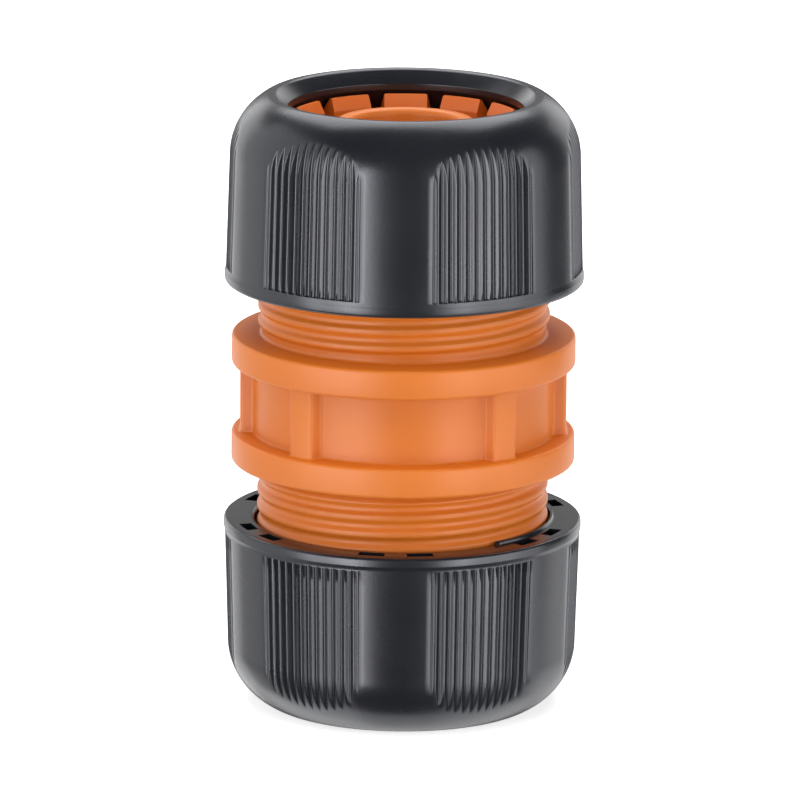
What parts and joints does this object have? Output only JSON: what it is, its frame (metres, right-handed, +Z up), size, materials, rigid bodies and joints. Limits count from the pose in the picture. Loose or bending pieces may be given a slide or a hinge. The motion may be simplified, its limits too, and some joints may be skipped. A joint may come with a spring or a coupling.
{
  "type": "hose mender",
  "caption": "Straight garden hose mender: ribbed body with a barbed tail and threaded sleeve at each end, fingered clamping rings and fluted screw-down nuts.",
  "frame": {"origin": "centre of the lower nut's end ring, on the surface the mender stands on", "axes": "+Z up along the water way, -Y is the front with the plain field between two ribs"},
  "size_m": [0.0318, 0.0318, 0.0551],
  "materials": {
    "orange_body": "satin injection-moulded orange plastic",
    "orange_ring": "satin injection-moulded orange plastic",
    "anthracite_nut": "satin injection-moulded anthracite plastic"
  },
  "bodies": {
    "mender_body": {"mender_body": "orange_body"},
    "upper_clamping_ring": {"upper_clamping_ring": "orange_ring"},
    "upper_nut": {"upper_nut": "anthracite_nut"},
    "lower_clamping_ring": {"lower_clamping_ring": "orange_ring"},
    "lower_nut": {"lower_nut": "anthracite_nut"}
  },
  "joints": [
    {"name": "upper_nut_travel", "type": "slide", "parent": "mender_body", "child": "upper_clamping_ring", "axis": [0, 0, 1], "range_m": [-0.0045, 0.0045]},
    {"name": "upper_nut_turn", "type": "hinge", "parent": "upper_clamping_ring", "child": "upper_nut", "pos_m": [0, 0, 0.03835], "axis": [0, 0, 1], "range_deg": [-1080.1, 1080.1]},
    {"name": "lower_nut_travel", "type": "slide", "parent": "mender_body", "child": "lower_clamping_ring", "axis": [0, 0, 1], "range_m": [-0.0041, 0.0049]},
    {"name": "lower_nut_turn", "type": "hinge", "parent": "lower_clamping_ring", "child": "lower_nut", "pos_m": [0, 0, 0.01675], "axis": [0, 0, 1], "range_deg": [-984.1, 1176.1]}
  ],
  "couplings": [
    {"joint": "upper_nut_turn", "follows": "upper_nut_travel", "rad_per_m": 4188.8},
    {"joint": "lower_nut_turn", "follows": "lower_nut_travel", "rad_per_m": 4188.8}
  ]
}
